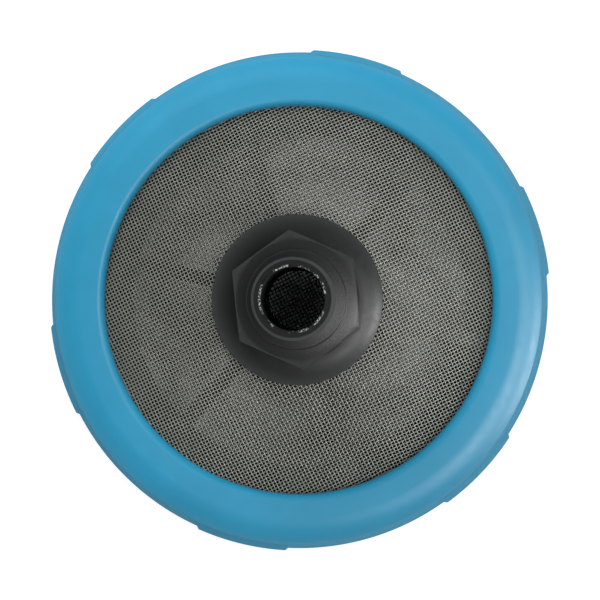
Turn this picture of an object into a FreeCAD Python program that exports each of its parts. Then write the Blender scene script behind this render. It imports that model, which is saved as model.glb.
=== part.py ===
import FreeCAD, Part
import math
import os
import re
import Sketcher

# Pressure washer inlet strainer.
# A woven steel cone sits on a black spider of six webs. A blue collar and a black base ring lock
# together round the rim and clamp the cloth between them. A domed hub clamps the middle of the
# cone and carries a barbed hose tail, through which the cleaned water is drawn off.
# Millimetres, +Z up along the hose tail, origin on the floor at the centre of the base ring.

# Each size: its name in the sheet, its value, and what it measures.
SIZES = [
    ("collar_height", 22.0, "top of the collar above the floor"),
    ("collar_foot_level", 3.2, "underside of the collar above the floor"),
    ("foot_radius", 68.2, "foot band round the collar"),
    ("band_height", 5.2, "height of the foot band"),
    ("band_step", 0.6, "slope from the skirt out to the band"),
    ("band_rise", 0.3, "foot band proud of the skirt"),
    ("skirt_flare", 2.15, "skirt wider at its foot than at the shoulder"),
    ("shoulder_drop", 2.6, "shoulder edge below the crown"),
    ("shoulder_curve", 10.1, "radius of the rounded shoulder"),
    ("lip_width", 6.5, "top face from the mouth out to its crown"),
    ("lip_fall", 0.3, "fall of the top face from its crown to the lip"),
    ("lip_thickness", 3.4, "collar's lip over the cone's edge"),
    ("lip_round", 2.2, "rounding of the lip towards the cone"),
    ("mouth_inset", 0.9, "collar's mouth in from the folded steel edge"),
    ("socket_wall", 2.6, "wall of the collar round its socket"),
    ("socket_depth", 4.2, "depth of the wider bore at the collar's foot"),
    ("socket_step", 2.8, "collar's bore in from that socket"),
    ("land_count", 6, "grip lands round the foot band"),
    ("land_rise", 0.85, "lands proud of the foot band"),
    ("land_height", 10.6, "height of a land up the skirt"),
    ("land_wall", 3.2, "upright face of a land under its slope"),
    ("land_edge", 0.1, "top of that slope proud of the skirt"),
    ("land_span", 23.8, "degrees that a land covers at its root"),
    ("land_slant", 1.6, "degrees that each end of a land slopes in"),
    ("land_phase", 16.5, "degrees from +X to the first land"),
    ("shelf_reach", 2.2, "bayonet shelf in from the collar's bore"),
    ("shelf_lift", 0.6, "bayonet shelf above the socket"),
    ("shelf_height", 2.5, "thickness of a shelf and of a lug"),
    ("foot_depth", 2.2, "plate of the base ring above the floor"),
    ("foot_width", 3.9, "width of the base ring's foot"),
    ("plate_thickness", 2.2, "flat plate of the base ring"),
    ("base_wall", 3.2, "upright wall of the base ring"),
    ("wall_above_lug", 1.4, "that wall above its bayonet lugs"),
    ("ledge_width", 11.0, "ledge of the base ring under the flat cloth"),
    ("notch_span", 10.0, "degrees that a water notch covers"),
    ("running_gap", 0.4, "radial gap between mouldings that slide together"),
    ("thread_gap", 0.3, "radial gap between a thread's two halves"),
    ("leaf", 0.3, "thickness of the folded steel edges"),
    ("leaf_width", 3.2, "how far a folded edge reaches over the cloth"),
    ("cloth", 0.6, "thickness of the woven cloth"),
    ("rim_gasket_height", 1.2, "rubber under the cone's edge"),
    ("base_gasket_height", 1.0, "rubber over the flat sheet's edge"),
    ("spider_rim_width", 3.0, "rim of the spider"),
    ("cone_slope", 24.0, "degrees that the cone rises"),
    ("cone_inset", 0.3, "cone's foot in from the collar's mouth"),
    ("crown_margin", 0.5, "flat crown of the cone out beyond the boss"),
    ("weave_angle", 25.7, "degrees from +X to the warp"),
    ("weave_pitch", 8.3, "distance from gap to gap in the cloth"),
    ("weave_gap", 5.8, "side of a gap in the cloth"),
    ("weave_margin", 1.0, "closed cloth beside a collar's or a ledge's edge"),
    ("wire_rise", 0.25, "crossing wires proud of the cloth"),
    ("web_count", 6, "webs of the spider"),
    ("web_thickness", 3.8, "thickness of a web"),
    ("web_phase", 47.0, "degrees from +X to the first web"),
    ("web_reach", 9.0, "web's arch comes down this far inside the ledge"),
    ("web_arch", 19.0, "radius of a web's arch"),
    ("web_lift", 1.6, "arch above the underside of the boss"),
    ("web_gap", 0.3, "gap between a web and the cone"),
    ("boss_margin", 1.1, "boss of the spider out beyond the eyelet"),
    ("boss_height", 9.7, "height of the boss"),
    ("hub_bore", 13.4, "threaded bore of the hub"),
    ("hub_bore_depth", 15.2, "depth of that bore below the seat"),
    ("sleeve_wall", 3.2, "wall of the hub's sleeve round that bore"),
    ("sleeve_end", 0.8, "sleeve below the hub nut"),
    ("outlet_step", 1.8, "bore below the hose tail's spigot in from the thread"),
    ("flange_overhang", 1.2, "domed flange of the hub out beyond the boss"),
    ("flange_edge", 1.2, "height of the flange's edge"),
    ("flange_height", 4.3, "height of the flange up to its seat"),
    ("flange_curve", 9.5, "radius of the flange's dome"),
    ("hub_seal_height", 1.0, "rubber washer under the flange"),
    ("washer_height", 1.2, "steel washer under the boss"),
    ("washer_width", 5.5, "width of that washer"),
    ("nut_wall", 3.6, "hub nut from its bore to a flat"),
    ("nut_height", 7.0, "height of the hub nut"),
    ("recess_width", 2.0, "width of the recess under the hexagon"),
    ("recess_wall", 1.0, "flat seat round that recess"),
    ("tail_seal_height", 1.0, "rubber washer in that recess"),
    ("spigot_room", 1.0, "room below the threaded spigot in the hub's bore"),
    ("hex_flats", 32.0, "hose tail's hexagon across its flats"),
    ("hex_height", 7.0, "height of the hexagon"),
    ("hex_phase", 36.0, "degrees from +X to a corner of the hexagon"),
    ("chamfer_inset", 0.4, "hexagon's chamfer starts this far inside its flats"),
    ("chamfer_angle", 30.0, "degrees of the hexagons' chamfers"),
    ("tail_bore", 7.9, "bore of the tail"),
    ("tail_wall", 1.6, "wall of the tail between its barbs"),
    ("tail_length", 40.0, "tail above the hexagon"),
    ("tail_foot_step", 3.5, "round foot out from the tail on the hexagon"),
    ("tail_foot_height", 1.2, "height of that foot"),
    ("tip_rise", 0.1, "front of a barb proud of the tail"),
    ("barb_rise", 0.9, "crest of a barb proud of the tail"),
    ("barb_land", 0.9, "flat crest of a barb"),
    ("barb_back", 0.5, "slope behind a crest"),
    ("barb_length", 4.9, "barb from its front to its back"),
    ("barb_pitch", 6.1, "distance from barb to barb"),
    ("barb_count", 5, "barbs on the tail"),
]

# Levels and radii that follow from the sizes, each written once.
DERIVED = {
    "band_top": "collar_foot_level + band_height",
    "socket_top": "collar_foot_level + socket_depth",
    "lip_under": "collar_height - lip_thickness",
    "skirt_radius": "foot_radius - band_rise",
    "shoulder_radius": "skirt_radius - skirt_flare",
    "shoulder_level": "collar_height - shoulder_drop",
    "land_radius": "foot_radius + land_rise",
    "land_top": "collar_foot_level + land_height",
    "land_share": "(land_top - band_top) / (shoulder_level - band_top)",
    "land_top_radius": "skirt_radius - skirt_flare * land_share + land_edge",
    "socket_bore": "foot_radius - socket_wall",
    "collar_bore": "socket_bore - socket_step",
    "shelf_radius": "collar_bore - shelf_reach",
    "shelf_level": "socket_top + shelf_lift",
    "shelf_top": "shelf_level + shelf_height",
    "foot_outer": "socket_bore - running_gap",
    "foot_inner": "foot_outer - foot_width",
    "plate_top": "foot_depth + plate_thickness",
    "base_wall_outer": "shelf_radius - running_gap",
    "base_wall_inner": "base_wall_outer - base_wall",
    "base_wall_top": "shelf_top + shelf_height + wall_above_lug",
    "lug_radius": "collar_bore - running_gap",
    "window_radius": "base_wall_inner - ledge_width",
    "stack_radius": "base_wall_inner - running_gap",
    "leaf_inner": "stack_radius - leaf_width",
    "mouth_radius": "leaf_inner - mouth_inset",
    "crown_radius": "mouth_radius + lip_width",
    "cone_foot": "mouth_radius - cone_inset",
    "sheet_radius": "stack_radius - leaf",
    "sheet_low": "plate_top + leaf",
    "sheet_high": "sheet_low + cloth",
    "base_gasket_low": "sheet_high + leaf",
    "spider_low": "base_gasket_low + base_gasket_height",
    "cone_rim_high": "lip_under - leaf",
    "cone_rim_low": "cone_rim_high - cloth",
    "rim_gasket_high": "cone_rim_low - leaf",
    "spider_high": "rim_gasket_high - rim_gasket_height",
    "spider_rim_inner": "stack_radius - spider_rim_width",
    "sleeve_radius": "hub_bore + sleeve_wall",
    "sleeve_hole": "sleeve_radius + thread_gap",
    "cloth_hole": "sleeve_hole + leaf",
    "eyelet_radius": "cloth_hole + leaf_width",
    "boss_radius": "eyelet_radius + boss_margin",
    "cone_top": "boss_radius + crown_margin",
    "cone_rise": "(cone_foot - cone_top) * tan(cone_slope)",
    "crown_low": "cone_rim_low + cone_rise",
    "crown_high": "crown_low + cloth",
    "miter": "cloth * tan(cone_slope / 2)",
    "wire_sunk": "wire_rise / 2",
    "boss_top": "crown_low - leaf",
    "boss_low": "boss_top - boss_height",
    "web_foot": "window_radius - web_reach",
    "hub_seal_low": "crown_high + leaf",
    "flange_low": "hub_seal_low + hub_seal_height",
    "flange_radius": "boss_radius + flange_overhang",
    "seat": "flange_low + flange_height",
    "recess_radius": "hub_bore + recess_width",
    "recess_floor": "seat - tail_seal_height",
    "seat_radius": "recess_radius + recess_wall",
    "bore_floor": "seat - hub_bore_depth",
    "outlet_radius": "hub_bore - outlet_step",
    "washer_radius": "sleeve_hole + washer_width",
    "washer_low": "boss_low - washer_height",
    "nut_low": "washer_low - nut_height",
    "nut_inscribed": "sleeve_hole + nut_wall",
    "nut_corner": "nut_inscribed / cos(30)",
    "sleeve_low": "nut_low - sleeve_end",
    "hex_corner": "hex_flats / 2 / cos(30)",
    "hex_chamfer_radius": "hex_flats / 2 - chamfer_inset",
    "hex_top": "seat + hex_height",
    "spigot_radius": "hub_bore - thread_gap",
    "spigot_low": "bore_floor + spigot_room",
    "tail_radius": "tail_bore + tail_wall",
    "tail_foot_radius": "tail_radius + tail_foot_step",
    "tip_radius": "tail_radius + tip_rise",
    "barb_radius": "tail_radius + barb_rise",
    "tip": "hex_top + tail_length",
    "barb_front": "tip - barb_pitch * (barb_count - 1)",
    "barb_start": "barb_front - barb_length",
}

# A block round the axis is drawn about this direction, in degrees, and then turned into place.
SECTOR_MIDDLE = 45
# How far a feature is rooted in the solid that carries it.
EMBED = 0.5
# How far a cut reaches past the solid.
PAST = 1
# The least turn, in degrees, with which an object keeps the axis that its bound angle turns about.
LEAST_TURN = 0.001
HEXAGON_SIDES = 6
# The raised wire's share of the strip of cloth that it stands on.
WIRE_SHARE = 0.9

doc = FreeCAD.newDocument("InletStrainer")
sheet = doc.addObject("Spreadsheet::Sheet", "Sizes")
for row, (name, value, meaning) in enumerate(SIZES, start=1):
    sheet.set(f"A{row}", name)
    sheet.set(f"B{row}", str(value))
    sheet.set(f"C{row}", meaning)
    sheet.setAlias(f"B{row}", name)
doc.recompute()

CELLS = {name for name, value, meaning in SIZES}


def bound(text):
    """A formula in size names, written out as an expression on the sheet."""
    def swap(match):
        word = match.group()
        if word in DERIVED:
            return "(" + bound(DERIVED[word]) + ")"
        return "Sizes." + word if word in CELLS else word
    return re.sub(r"[a-z_]+", swap, str(text))


def number(text):
    """The present value of such a formula."""
    value = sheet.evalExpression(bound(text))
    return float(getattr(value, "Value", value))


def bind(item, **formulas):
    """Tie properties of one object to the sheet; a double underscore stands for a dot."""
    for prop, formula in formulas.items():
        item.setExpression(prop.replace("__", "."), bound(formula))


def new_body(label):
    """An empty body for one piece."""
    body = doc.addObject("PartDesign::Body", label)
    body.Label = label
    return body


def origin_feature(body, role):
    """One plane or axis of a body's own origin."""
    return next(item for item in body.Origin.OriginFeatures if item.Role == role)


def new_sketch(body, name, role, level="0", turn="0"):
    """A sketch on one of the body's planes, raised to a level and turned about the axis."""
    sketch = body.newObject("Sketcher::SketchObject", name + "Sketch")
    sketch.AttachmentSupport = (origin_feature(body, role), [""])
    sketch.MapMode = "FlatFace"
    upright = role == "XZ_Plane"
    axis = FreeCAD.Vector(0, 1, 0) if upright else FreeCAD.Vector(0, 0, 1)
    height = number(level)
    base = FreeCAD.Vector(0, height, 0) if upright else FreeCAD.Vector(0, 0, height)
    turning = FreeCAD.Rotation(axis, number(turn) or LEAST_TURN)
    sketch.AttachmentOffset = FreeCAD.Placement(base, turning)
    lift = "AttachmentOffset__Base__" + ("y" if upright else "z")
    bind(sketch, **{lift: level, "AttachmentOffset__Rotation__Angle": turn})
    return sketch


def constrain(sketch, kind, *where):
    """Add one constraint and give its number."""
    return sketch.addConstraint(Sketcher.Constraint(kind, *where))


def pin(sketch, geometry, end, across, up):
    """Hold one point of a sketch at two formulas from the sketch's origin."""
    for kind, axis, formula in (("DistanceX", -2, across), ("DistanceY", -1, up)):
        if formula == "0":
            constrain(sketch, "PointOnObject", geometry, end, axis)
            continue
        index = constrain(sketch, kind, -1, 1, geometry, end, number(formula))
        sketch.setExpression(f"Constraints[{index}]", bound(formula))


def arc_between(start, end, radius, hollow):
    """The short arc between two points, and whether it runs from end to start."""
    chord = end - start
    side = -1 if hollow else 1
    left = FreeCAD.Vector(-chord.y, chord.x, 0).normalize() * side
    centre = (start + end) * 0.5 + left * math.sqrt(radius ** 2 - chord.Length ** 2 / 4)
    first, last = (end, start) if hollow else (start, end)
    angles = [math.atan2(point.y - centre.y, point.x - centre.x) for point in (first, last)]
    if angles[1] < angles[0]:
        angles[1] += 2 * math.pi
    circle = Part.Circle(centre, FreeCAD.Vector(0, 0, 1), radius)
    return Part.ArcOfCircle(circle, angles[0], angles[1])


def draw_outline(sketch, corners):
    """A closed outline through corners, taken anticlockwise.

    A corner is (across, up), with ("arc", radius) or ("hollow", radius) where the stretch that
    leaves it is round, or ("round", radius) where the corner itself is rounded.
    """
    count = len(corners)
    places = [FreeCAD.Vector(number(corner[0]), number(corner[1]), 0) for corner in corners]
    style = [corner[2] if len(corner) > 2 else "sharp" for corner in corners]
    arrive, leave = list(places), list(places)
    for index in range(count):
        if style[index] == "round":
            back = (places[index - 1] - places[index]).normalize()
            onward = (places[(index + 1) % count] - places[index]).normalize()
            reach = number(corners[index][3]) / math.tan(back.getAngle(onward) / 2)
            arrive[index] = places[index] + back * reach
            leave[index] = places[index] + onward * reach
    ends = []
    for index in range(count):
        after = (index + 1) % count
        if style[index] in ("arc", "hollow"):
            hollow = style[index] == "hollow"
            curve = arc_between(leave[index], arrive[after], number(corners[index][3]), hollow)
            stretch = sketch.addGeometry(curve, False)
            radius = constrain(sketch, "Radius", stretch, number(corners[index][3]))
            sketch.setExpression(f"Constraints[{radius}]", bound(corners[index][3]))
            ends.append((stretch, 2, 1) if hollow else (stretch, 1, 2))
        else:
            stretch = sketch.addGeometry(Part.LineSegment(leave[index], arrive[after]), False)
            ends.append((stretch, 1, 2))
    for index in range(count):
        before, current = ends[index - 1], ends[index]
        if style[index] == "round":
            round_corner(sketch, before, current, places[index], corners[index])
            continue
        constrain(sketch, "Coincident", before[0], before[2], current[0], current[1])
        pin(sketch, current[0], current[1], corners[index][0], corners[index][1])


def round_corner(sketch, before, current, place, corner):
    """Join two stretches by an arc, with the sharp corner kept as a pinned point."""
    start = sketch.getPoint(before[0], before[2])
    end = sketch.getPoint(current[0], current[1])
    turning_left = (place - start).cross(end - place).z > 0
    radius = number(corner[3])
    arc = sketch.addGeometry(arc_between(start, end, radius, not turning_left), False)
    first, last = (1, 2) if turning_left else (2, 1)
    constrain(sketch, "Tangent", before[0], before[2], arc, first)
    constrain(sketch, "Tangent", current[0], current[1], arc, last)
    index = constrain(sketch, "Radius", arc, radius)
    sketch.setExpression(f"Constraints[{index}]", bound(corner[3]))
    point = sketch.addGeometry(Part.Point(place), True)
    constrain(sketch, "PointOnObject", point, 1, before[0])
    constrain(sketch, "PointOnObject", point, 1, current[0])
    pin(sketch, point, 1, corner[0], corner[1])


def turned(body, name, corners, cut=False):
    """A full turn of an outline about the strainer's axis, added or cut."""
    sketch = new_sketch(body, name, "XZ_Plane")
    draw_outline(sketch, corners)
    kind = "PartDesign::Groove" if cut else "PartDesign::Revolution"
    feature = body.newObject(kind, name)
    feature.Profile = sketch
    feature.ReferenceAxis = (sketch, ["V_Axis"])
    feature.Angle = 360
    doc.recompute()
    return feature


def sector(body, name, inner, outer, span, slant, low, height, phase, count, cut=False):
    """Equal blocks round the axis between two radii, added or cut, with slanting ends."""
    turn = f"{phase} - {SECTOR_MIDDLE}"
    sketch = new_sketch(body, name, "XY_Plane", low, turn)
    near, far = f"{span} / 2", f"{span} / 2 - {slant}"
    corners = [
        (f"({inner}) * cos({SECTOR_MIDDLE} - {near})", f"({inner}) * sin({SECTOR_MIDDLE} - {near})"),
        (f"({outer}) * cos({SECTOR_MIDDLE} - ({far}))", f"({outer}) * sin({SECTOR_MIDDLE} - ({far}))",
         "arc", outer),
        (f"({outer}) * cos({SECTOR_MIDDLE} + {far})", f"({outer}) * sin({SECTOR_MIDDLE} + {far})"),
        (f"({inner}) * cos({SECTOR_MIDDLE} + {near})", f"({inner}) * sin({SECTOR_MIDDLE} + {near})",
         "hollow", inner),
    ]
    draw_outline(sketch, corners)
    feature = body.newObject("PartDesign::Pocket" if cut else "PartDesign::Pad", name)
    feature.Profile = sketch
    feature.Reversed = cut
    bind(feature, Length=height)
    doc.recompute()
    return around(body, feature, count)


def around(body, feature, count):
    """Repeat a feature evenly about the strainer's axis."""
    pattern = body.newObject("PartDesign::PolarPattern", feature.Name + "Pattern")
    pattern.Originals = [feature]
    pattern.Axis = (origin_feature(body, "Z_Axis"), [""])
    pattern.Angle = 360
    bind(pattern, Occurrences=count)
    body.Tip = pattern
    doc.recompute()
    return pattern


def hexagon(body, name, corner, low, height, phase):
    """A hexagonal prism on the strainer's axis."""
    prism = body.newObject("PartDesign::AdditivePrism", name)
    prism.AttachmentSupport = (origin_feature(body, "XY_Plane"), [""])
    prism.MapMode = "FlatFace"
    turn = FreeCAD.Rotation(FreeCAD.Vector(0, 0, 1), number(phase) or LEAST_TURN)
    prism.AttachmentOffset = FreeCAD.Placement(FreeCAD.Vector(0, 0, number(low)), turn)
    prism.Polygon = HEXAGON_SIDES
    bind(prism, Circumradius=corner, Height=height, AttachmentOffset__Base__z=low,
         AttachmentOffset__Rotation__Angle=phase)
    doc.recompute()
    return prism


def flat_ring(label, inner, outer, low, height):
    """A washer or gasket: one cylinder less another on the same axis."""
    solids = []
    for part, radius in (("Disc", outer), ("Hole", inner)):
        solid = doc.addObject("Part::Cylinder", label + part)
        bind(solid, Radius=radius, Height=height)
        solids.append(solid)
    ring = doc.addObject("Part::Cut", label)
    ring.Label = label
    ring.Base, ring.Tool = solids
    bind(ring, Placement__Base__z=low)
    doc.recompute()
    return ring


def make_rim_collar():
    """Blue collar: domed top, flaring skirt, six grip lands and six bayonet shelves."""
    body = new_body("rim_collar")
    turned(body, "Shell", [
        ("socket_bore", "collar_foot_level"),
        ("foot_radius", "collar_foot_level"),
        ("foot_radius", "band_top - band_step"),
        ("skirt_radius", "band_top"),
        ("shoulder_radius", "shoulder_level", "arc", "shoulder_curve"),
        ("crown_radius", "collar_height"),
        ("mouth_radius", "collar_height - lip_fall", "round", "lip_round"),
        ("mouth_radius", "lip_under"),
        ("collar_bore", "lip_under"),
        ("collar_bore", "socket_top"),
        ("socket_bore", "socket_top"),
    ])
    sector(body, "Land", f"land_top_radius - {EMBED}", "land_radius", "land_span", "land_slant",
           "collar_foot_level", "land_height", "land_phase", "land_count")
    turned(body, "LandSlope", [
        ("land_radius", "collar_foot_level + land_wall"),
        (f"land_radius + {PAST}", "collar_foot_level + land_wall"),
        (f"land_radius + {PAST}", f"land_top + {PAST}"),
        ("land_top_radius", f"land_top + {PAST}"),
        ("land_top_radius", "land_top"),
    ], cut=True)
    sector(body, "Shelf", "shelf_radius", f"collar_bore + {EMBED}", "land_span", "0",
           "shelf_level", "shelf_height", "land_phase", "land_count")
    return body


def make_base_ring():
    """Black base ring: notched foot, flat plate, upright wall and six bayonet lugs."""
    body = new_body("base_ring")
    turned(body, "Ring", [
        ("foot_inner", "0"),
        ("foot_outer", "0"),
        ("foot_outer", "plate_top"),
        ("base_wall_outer", "plate_top"),
        ("base_wall_outer", "base_wall_top"),
        ("base_wall_inner", "base_wall_top"),
        ("base_wall_inner", "plate_top"),
        ("window_radius", "plate_top"),
        ("window_radius", "foot_depth"),
        ("foot_inner", "foot_depth"),
    ])
    sector(body, "Lug", f"base_wall_outer - {EMBED}", "lug_radius", "land_span", "0",
           "shelf_top", "shelf_height", "land_phase", "land_count")
    sector(body, "Notch", f"foot_inner - {PAST}", f"foot_outer + {PAST}", "notch_span", "0",
           "0", "foot_depth", "land_phase + 180 / land_count", "land_count", cut=True)
    return body


def make_support_spider():
    """Black spider: boss and rim joined by six arched webs that carry the cone."""
    body = new_body("support_spider")
    turned(body, "Boss", [
        ("sleeve_hole", "boss_low"),
        ("boss_radius", "boss_low"),
        ("boss_radius", "boss_top"),
        ("sleeve_hole", "boss_top"),
    ])
    sketch = new_sketch(body, "Web", "XZ_Plane", "0", "web_phase")
    below_cone = "web_gap / cos(cone_slope)"
    at_boss = f"cone_rim_low + (cone_foot - boss_radius) * tan(cone_slope) - {below_cone}"
    draw_outline(sketch, [
        ("web_foot", "spider_low"),
        (f"stack_radius - {EMBED}", "spider_low"),
        (f"stack_radius - {EMBED}", "spider_high"),
        ("cone_foot + web_gap", "spider_high"),
        ("cone_foot", f"cone_rim_low - {below_cone}"),
        ("boss_radius", at_boss),
        (f"boss_radius - {EMBED}", at_boss),
        (f"boss_radius - {EMBED}", "boss_low + web_lift", "hollow", "web_arch"),
    ])
    web = body.newObject("PartDesign::Pad", "Web")
    web.Profile = sketch
    web.Midplane = True
    bind(web, Length="web_thickness")
    doc.recompute()
    around(body, web, "web_count")
    turned(body, "Rim", [
        ("spider_rim_inner", "spider_low"),
        ("stack_radius", "spider_low"),
        ("stack_radius", "spider_high"),
        ("spider_rim_inner", "spider_high"),
    ])
    return body


def make_hub_flange():
    """Black hub: domed flange over the cone and a threaded sleeve through it."""
    body = new_body("hub_flange")
    turned(body, "Hub", [
        ("outlet_radius", "sleeve_low"),
        ("sleeve_radius", "sleeve_low"),
        ("sleeve_radius", "flange_low"),
        ("flange_radius", "flange_low"),
        ("flange_radius", "flange_low + flange_edge", "arc", "flange_curve"),
        ("seat_radius", "seat"),
        ("recess_radius", "seat"),
        ("recess_radius", "recess_floor"),
        ("hub_bore", "recess_floor"),
        ("hub_bore", "bore_floor"),
        ("outlet_radius", "bore_floor"),
    ])
    return body


def bore(body, name, radius, low, high):
    """A round hole on the strainer's axis, cut right through between two levels."""
    turned(body, name, [
        ("0", f"{low} - {PAST}"),
        (radius, f"{low} - {PAST}"),
        (radius, f"{high} + {PAST}"),
        ("0", f"{high} + {PAST}"),
    ], cut=True)


def hexagon_chamfer(body, start, corner, level, upward):
    """Take the corners of a hexagon off by a cone that starts at a radius on its end face."""
    beyond = f"({corner} + {PAST})"
    side, away = ("-", "+") if upward else ("+", "-")
    fall = f"({beyond} - {start}) * tan(chamfer_angle)"
    corners = [
        (start, level),
        (beyond, f"{level} {side} {fall}"),
        (beyond, f"{level} {away} {PAST}"),
        (start, f"{level} {away} {PAST}"),
    ]
    turned(body, "Chamfer", corners if upward else corners[::-1], cut=True)


def make_hub_nut():
    """Black hexagonal nut on the hub's sleeve, chamfered where the spanner comes on."""
    body = new_body("hub_nut")
    hexagon(body, "Blank", "nut_corner", "nut_low", "nut_height", "hex_phase")
    bore(body, "Bore", "sleeve_hole", "nut_low", "washer_low")
    hexagon_chamfer(body, "nut_inscribed", "nut_corner", "nut_low", upward=False)
    return body


def make_hose_tail():
    """Black hose tail: threaded spigot, hexagon, round foot and barbed tail with one bore."""
    body = new_body("hose_tail")
    turned(body, "Stem", [
        ("0", "spigot_low"),
        ("spigot_radius", "spigot_low"),
        ("spigot_radius", f"seat + {EMBED}"),
        ("tail_foot_radius", f"seat + {EMBED}"),
        ("tail_foot_radius", "hex_top + tail_foot_height"),
        ("tail_radius", "hex_top + tail_foot_height"),
        ("tail_radius", "tip"),
        ("0", "tip"),
    ])
    hexagon(body, "Hexagon", "hex_corner", "seat", "hex_height", "hex_phase")
    hexagon_chamfer(body, "hex_chamfer_radius", "hex_corner", "hex_top", upward=True)
    barb = turned(body, "Barb", [
        (f"tail_radius - {EMBED}", "barb_start"),
        ("tail_radius", "barb_start"),
        ("barb_radius", "barb_start + barb_back"),
        ("barb_radius", "barb_start + barb_back + barb_land"),
        ("tip_radius", "barb_front"),
        (f"tail_radius - {EMBED}", "barb_front"),
    ])
    row = body.newObject("PartDesign::LinearPattern", "BarbRow")
    row.Originals = [barb]
    row.Direction = (origin_feature(body, "Z_Axis"), [""])
    bind(row, Length="barb_pitch * (barb_count - 1)", Occurrences="barb_count")
    body.Tip = row
    doc.recompute()
    bore(body, "Waterway", "tail_bore", "spigot_low", "tip")
    return body


def make_folded_edge(label, inner, outer, low, fold_inside):
    """Folded steel edge that holds a cloth between two leaves."""
    body = new_body(label)
    high = f"{low} + cloth + 2 * leaf"
    turned(body, "Fold", [(inner, low), (outer, low), (outer, high), (inner, high)])
    near = f"{inner} + leaf" if fold_inside else f"{inner} - {PAST}"
    far = f"{outer} + {PAST}" if fold_inside else f"{outer} - leaf"
    turned(body, "Throat", [
        (near, f"{low} + leaf"),
        (far, f"{low} + leaf"),
        (far, f"{low} + leaf + cloth"),
        (near, f"{low} + leaf + cloth"),
    ], cut=True)
    return body


def grid_points(offset, inner, outer, reach):
    """Places of the weave whose square of half side reach stays between two radii."""
    pitch = number("weave_pitch")
    steps = int(outer / pitch) + 1
    for row in range(-steps, steps + 1):
        for column in range(-steps, steps + 1):
            across, up = (column + offset) * pitch, (row + offset) * pitch
            nearest = math.hypot(max(abs(across) - reach, 0), max(abs(up) - reach, 0))
            farthest = math.hypot(abs(across) + reach, abs(up) + reach)
            if nearest >= inner and farthest <= outer:
                yield across, up, (row + column) % 2


def upright_block(across, up, length, width):
    """A tall block on the weave's grid, long enough to pass through any cloth."""
    block = Part.makeBox(length, width, number("tip"))
    block.translate(FreeCAD.Vector(across - length / 2, up - width / 2, 0))
    block.rotate(FreeCAD.Vector(0, 0, 0), FreeCAD.Vector(0, 0, 1), number("weave_angle"))
    return block


def revolved(points):
    """A solid of revolution about the strainer's axis from (radius, height) points."""
    corners = [FreeCAD.Vector(radius, 0, height) for radius, height in points]
    face = Part.Face(Part.makePolygon(corners + corners[:1]))
    return face.revolve(FreeCAD.Vector(0, 0, 0), FreeCAD.Vector(0, 0, 1), 360)


def weave(wall, layer, inner, outer):
    """One wall with square gaps, and a raised wire over each crossing, warp and weft in turn."""
    gap = number("weave_gap")
    pitch = number("weave_pitch")
    gaps = [upright_block(x, y, gap, gap) for x, y, turn in grid_points(0.5, inner, outer, gap / 2)]
    cloth = wall.cut(Part.makeCompound(gaps))
    wires = []
    wire = pitch - gap
    for x, y, turn in grid_points(0, inner, outer, pitch / 2):
        length, width = (pitch, wire) if turn else (wire, pitch)
        wires.append(upright_block(x, y, length * WIRE_SHARE, width * WIRE_SHARE))
    crossings = layer.common(Part.makeCompound(wires))
    return cloth.fuse(crossings.Solids)


def place_cloth(label, shape):
    """Put a finished cloth into the document under its own name."""
    cloth = doc.addObject("Part::Feature", label)
    cloth.Label = label
    cloth.Shape = shape
    cloth.Placement = FreeCAD.Placement()
    return cloth


def make_upper_mesh():
    """Woven cone: flat rim under the collar's lip, slope, and flat crown under the hub."""
    edge, hole = number("sheet_radius"), number("cloth_hole")
    foot, top = number("cone_foot"), number("cone_top")
    low, high = number("cone_rim_low"), number("cone_rim_high")
    crown_low, crown_high = number("crown_low"), number("crown_high")
    miter, rise, sunk = number("miter"), number("wire_rise"), number("wire_sunk")
    wall = revolved([(edge, low), (edge, high), (foot + miter, high), (top + miter, crown_high),
                     (hole, crown_high), (hole, crown_low), (top, crown_low), (foot, low)])
    layer = revolved([(foot, high - sunk), (foot, high + rise), (top, crown_high + rise),
                      (top, crown_high - sunk)])
    shape = weave(wall, layer, number("flange_radius"), number("mouth_radius - weave_margin"))
    return place_cloth("upper_mesh", shape)


def make_lower_mesh():
    """Flat woven sheet under the spider."""
    edge = number("sheet_radius")
    low, high = number("sheet_low"), number("sheet_high")
    rise, sunk = number("wire_rise"), number("wire_sunk")
    wall = revolved([(0, low), (edge, low), (edge, high), (0, high)])
    layer = revolved([(0, high - sunk), (edge, high - sunk), (edge, high + rise), (0, high + rise)])
    shape = weave(wall, layer, 0, number("window_radius - weave_margin"))
    return place_cloth("lower_mesh", shape)


def make_all():
    """Every piece of the strainer, from the floor up."""
    return [
        make_base_ring(),
        make_lower_mesh(),
        make_folded_edge("lower_mesh_binding", "leaf_inner", "stack_radius", "plate_top", False),
        flat_ring("base_gasket", "leaf_inner", "stack_radius", "base_gasket_low",
                  "base_gasket_height"),
        make_support_spider(),
        flat_ring("rim_gasket", "leaf_inner", "stack_radius", "spider_high", "rim_gasket_height"),
        make_upper_mesh(),
        make_folded_edge("upper_mesh_binding", "leaf_inner", "stack_radius", "rim_gasket_high", False),
        make_folded_edge("mesh_eyelet", "sleeve_hole", "eyelet_radius", "boss_top", True),
        make_rim_collar(),
        make_hub_nut(),
        flat_ring("hub_washer", "sleeve_hole", "washer_radius", "washer_low", "washer_height"),
        flat_ring("hub_seal", "sleeve_hole", "boss_radius", "hub_seal_low", "hub_seal_height"),
        make_hub_flange(),
        flat_ring("tail_seal", "hub_bore", "recess_radius", "recess_floor", "tail_seal_height"),
        make_hose_tail(),
    ]


def check(parts):
    """Stop with a plain message if any object failed or any piece is not a sound solid."""
    for item in doc.Objects:
        if "Invalid" in item.State or "Error" in item.State:
            raise RuntimeError(f"{item.Label} failed to build")
    for item in parts:
        if item.Shape.isNull() or not item.Shape.isValid() or not item.Shape.Solids:
            raise RuntimeError(f"{item.Label} is not a valid solid")


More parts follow.
